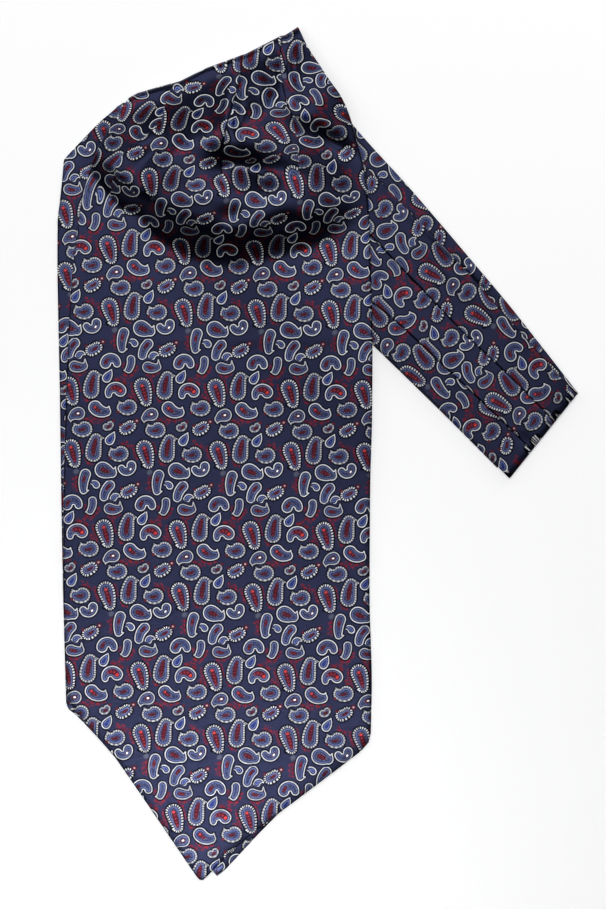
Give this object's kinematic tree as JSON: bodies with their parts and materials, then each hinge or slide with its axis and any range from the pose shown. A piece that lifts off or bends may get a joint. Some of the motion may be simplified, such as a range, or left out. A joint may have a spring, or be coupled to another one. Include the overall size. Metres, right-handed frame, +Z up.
{
  "type": "silk cravat",
  "caption": "Paisley silk cravat folded in half and laid flat, two wide pointed blades over a pleated neckband turned diagonally behind them.",
  "frame": {"origin": "on the table, under the middle of the cravat's bounding box", "axes": "+X across the blades towards the neckband's end, +Y from the blades' points to the fold, +Z up off the table"},
  "size_m": [0.2602, 0.4264, 0.0177],
  "materials": {
    "paisley_silk": "woven silk satin, navy with a silver, blue and red paisley, soft sheen"
  },
  "bodies": {
    "root": {"front_blade": "paisley_silk", "back_blade": "paisley_silk", "neckband_upper": "paisley_silk", "neckband_lower": "paisley_silk"}
  },
  "joints": []
}
